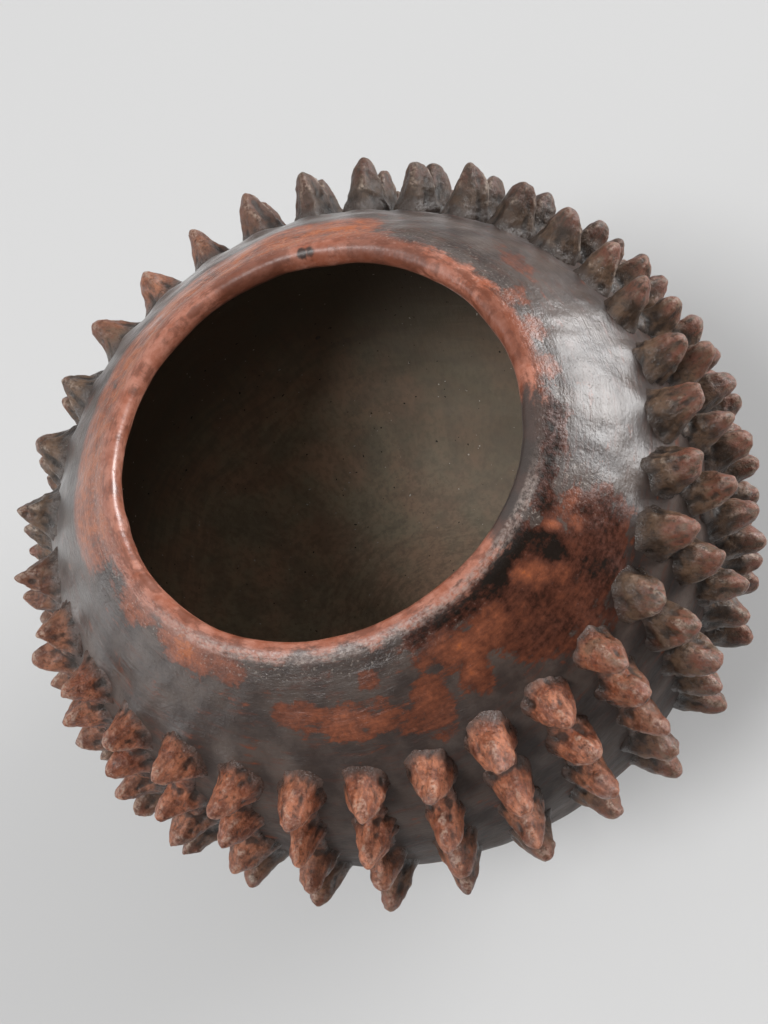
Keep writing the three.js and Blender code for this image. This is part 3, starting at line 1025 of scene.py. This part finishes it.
def thorn_clay():
    """Rougher clay: orange on the front, grey-brown elsewhere, with painted shade on the back side, pale
    grain that is partly painted glints, painted highlights along the ridges and painted shade in the hollows.
    """
    clay = Clay("thorn_clay")
    mottle = clay.noise(7, 7.0, 0.68)
    grain = clay.noise(1.4, 5.0, 0.7)
    flutes = clay.noise(2.4, 5.0, 0.65, at=clay.ray_place(0.25))
    proud = clay.node("ShaderNodeAttribute", attribute_name="proud").outputs["Fac"]
    edge = clay.node("ShaderNodeAttribute", attribute_name="edge").outputs["Fac"]

    dark = clay.mix(clay.ramp(mottle, 0.38, 0.62), THORN_DARK, THORN_BROWN)
    reddened = clay.ramp(clay.ragged(proud, mottle, 12.0), 13.0, 20.0)
    dark = clay.tinted(dark, THORN_RED, reddened, clay.ramp(flutes, 0.36, 0.6))
    warm = clay.mix(clay.ramp(mottle, 0.38, 0.6), THORN_RUST, THORN_ORANGE)
    warm = clay.tinted(warm, THORN_FLUTE, clay.ramp(flutes, 0.44, 0.58), 0.6)
    # Pale grain flecks, partly painted highlight standing in for glints.
    warm = clay.tinted(warm, THORN_GRAIN_AND_GLINT, clay.ramp(grain, 0.52, 0.66), 0.35)
    high = clay.ramp(clay.ragged(clay.axis(2), mottle, 40.0), 135.0, 172.0, 0.15, 1.0)
    tear = clay.times(clay.less(mottle, 0.5), 90.0)
    left = clay.most(clay.patch(*RUDDY_SIDE, tear), clay.patch(*LEFT_SIDE, tear))
    front = clay.most(clay.patch(*WARM_SIDE, tear), clay.times(left, 0.6))
    warmth = clay.times(front, high, clay.ramp(grain, 0.2, 0.5, 0.6, 1.0))
    # Painted shade: the back side's thorns are painted darker, and their coat is thinned there.
    darkened = clay.patch(*SHADED_BACK_SIDE)
    colour = clay.mix(warmth, dark, warm)
    colour = clay.tinted(colour, THORN_PAINTED_SHADE, darkened, 0.6)
    colour = clay.tinted(colour, THORN_SPECK, clay.ramp(grain, 0.46, 0.36), 0.6)
    # Painted highlight: pale lines along convex ridges stand in for glints.
    ridge = clay.times(clay.ramp(edge, 0.07, 0.15), clay.ramp(grain, 0.42, 0.6))
    colour = clay.tinted(colour, RIDGE_GLINT, ridge, clay.ramp(proud, 17.0, 12.0, 0.3, 1.0), 0.55)
    colour = clay.tinted(colour, THORN_ROOT, clay.ramp(clay.ragged(proud, mottle, 6.0), 8.5, 4.0), 0.85)
    # Painted shade: the concave hollows and creases are painted dark.
    colour = clay.tinted(colour, HOLLOW_SHADE, clay.ramp(edge, 0.01, -0.05), 0.8)

    clay.relief(grain, 0.45)
    clay.relief(flutes, 0.55)
    clay.relief(clay.noise(4.5, 4.0, 0.6), 0.6)

    smoothed = clay.ramp(proud, 5.0, 1.0)
    roughness = clay.ramp(clay.noise(3.5, 4.0, 0.6), 0.35, 0.65, 0.3, 0.55)
    roughness = clay.plus(roughness, clay.times(smoothed, -0.1))
    glazed = clay.times(clay.ramp(clay.noise(5, 3.0, 0.6), 0.5, 0.62), clay.ramp(proud, 3.0, 7.0))
    glazed = clay.times(glazed, clay.without(darkened, 0.8), 0.55)
    clay.put(clay.shader.inputs["Coat Weight"], glazed)
    clay.set_evenly("Coat Roughness", 0.2)
    return clay.finish(colour, roughness, clay.ramp(smoothed, 0.0, 1.0, 0.4, 0.6))


def dress(piece, nodes, slot, *materials):
    for material in materials:
        piece.data.materials.append(material)
    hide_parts(*nodes)
    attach(piece, "root")


BURNISHED, WIPED, SCUFFED, PINCHED = burnished_clay(), inner_clay(), foot_clay(), thorn_clay()
dress(build_wall(), ["vessel_wall"], "wall_clay", BURNISHED, WIPED)
dress(build_lip(), ["rim_coil"], "lip_clay", BURNISHED)
dress(build_foot(), ["base_pad"], "base_clay", SCUFFED, WIPED)
for column in range(COLUMNS):
    dress(build_strip(column), [f"thorn_column_{column + 1:02d}"], "thorn_clay", PINCHED)


# Stage, camera and lights. The floor's half side is in metres, and its evenness is a share.

FLOOR_TONE, FLOOR_EVENNESS, FLOOR_HALF = rgb(0.62, 0.62, 0.62), 0.15, 4.0


def pale_floor():
    """Plain pale ground, evened out where the camera sees it, so that the shadow stays soft."""
    material = bpy.data.materials.new("pale_floor")
    material.use_nodes = True
    tree = material.node_tree
    shader, output = tree.nodes["Principled BSDF"], tree.nodes["Material Output"]
    shader.inputs["Base Color"].default_value = FLOOR_TONE
    shader.inputs["Roughness"].default_value = 0.9
    shader.inputs["Specular IOR Level"].default_value = 0.1
    even = tree.nodes.new("ShaderNodeEmission")
    even.inputs["Color"].default_value = FLOOR_TONE
    seen = tree.nodes.new("ShaderNodeLightPath")
    share = tree.nodes.new("ShaderNodeMath")
    share.operation = "MULTIPLY"
    share.inputs[1].default_value = FLOOR_EVENNESS
    blend = tree.nodes.new("ShaderNodeMixShader")
    tree.links.new(seen.outputs["Is Camera Ray"], share.inputs[0])
    tree.links.new(share.outputs[0], blend.inputs[0])
    tree.links.new(shader.outputs[0], blend.inputs[1])
    tree.links.new(even.outputs[0], blend.inputs[2])
    tree.links.new(blend.outputs[0], output.inputs["Surface"])
    return material


def make_floor():
    mesh = bpy.data.meshes.new("floor")
    corners = [(x * FLOOR_HALF, y * FLOOR_HALF, 0) for x, y in ((-1, -1), (1, -1), (1, 1), (-1, 1))]
    mesh.from_pydata(corners, [], [(0, 1, 2, 3)])
    mesh.materials.append(pale_floor())
    add_object("floor", mesh)


# The photograph's camera, from the mouth's outline and the places of the thorns. Its focal length is a share
# of the picture's height.
CAMERA_PLACE = (-6.3, -266.6, 612.7)
CAMERA_RIGHT = (0.7905, -0.5445, -0.2803)
CAMERA_UP = (0.6121, 0.6882, 0.3894)
CAMERA_BACK = (-0.0192, -0.4794, 0.8774)
FOCAL_SHARE = 1496.6 / 1024
SENSOR = 36.0


def make_camera():
    data = bpy.data.cameras.new("camera")
    data.sensor_width = SENSOR
    data.lens = FOCAL_SHARE * SENSOR
    camera = add_object("camera", data)
    matrix = Matrix((CAMERA_RIGHT, CAMERA_UP, CAMERA_BACK)).transposed().to_4x4()
    matrix.translation = Vector(CAMERA_PLACE) * MM
    camera.matrix_world = matrix
    bpy.context.scene.camera = camera


# Soft boxes: direction from the jar, distance and side in metres, and the brightness of the face
LAMPS = {
    "window": ((0.975, -0.03, 0.2), 4.5, 3.0, 11.5),
    "overhead": ((-0.41, -0.135, 0.886), 4.0, 1.3, 17.0),
    "left_fill": ((-0.87, 0.27, 0.26), 4.0, 2.2, 2.9),
}
LIT_PLACE = (0, 0, 150)


def soft_light(name, towards, distance, side, radiance):
    data = bpy.data.lights.new(name, "AREA")
    data.size = side
    data.energy = radiance * math.pi * side * side
    lamp = add_object(name, data)
    direction = Vector(towards).normalized()
    lamp.location = Vector(LIT_PLACE) * MM + direction * distance
    lamp.rotation_mode = "QUATERNION"
    lamp.rotation_quaternion = (-direction).to_track_quat("-Z", "Y")


# The room: its light on the dim and the bright side, the way to the bright side, and how bright it looks
ROOM_LOW, ROOM_HIGH = 0.14, 0.5
BRIGHT_SIDE = (-0.35, 0.75, 0.56)
ROOM_LOOK = 0.68


def make_world():
    """A pale room that lights the jar more from above and behind than from the camera's side."""
    world = bpy.data.worlds.new("studio")
    world.use_nodes = True
    tree = world.node_tree
    background = tree.nodes["Background"]
    background.inputs["Color"].default_value = rgb(1, 1, 1)
    direction = tree.nodes.new("ShaderNodeTexCoord")
    across = tree.nodes.new("ShaderNodeVectorMath")
    across.operation = "DOT_PRODUCT"
    across.inputs[1].default_value = Vector(BRIGHT_SIDE).normalized()
    fade = tree.nodes.new("ShaderNodeMapRange")
    for name, value in zip(("From Min", "From Max", "To Min", "To Max"), (-0.4, 1.0, ROOM_LOW, ROOM_HIGH)):
        fade.inputs[name].default_value = value
    tree.links.new(direction.outputs["Generated"], across.inputs[0])
    tree.links.new(across.outputs["Value"], fade.inputs["Value"])
    seen = tree.nodes.new("ShaderNodeLightPath")
    strength = tree.nodes.new("ShaderNodeMix")
    strength.inputs["B"].default_value = ROOM_LOOK
    tree.links.new(seen.outputs["Is Camera Ray"], strength.inputs["Factor"])
    tree.links.new(fade.outputs["Result"], strength.inputs["A"])
    tree.links.new(strength.outputs["Result"], background.inputs["Strength"])
    bpy.context.scene.world = world


make_floor()
make_camera()
make_world()
for lamp_name, lamp_values in LAMPS.items():
    soft_light(lamp_name, *lamp_values)
bpy.context.scene.view_settings.view_transform = "Standard"
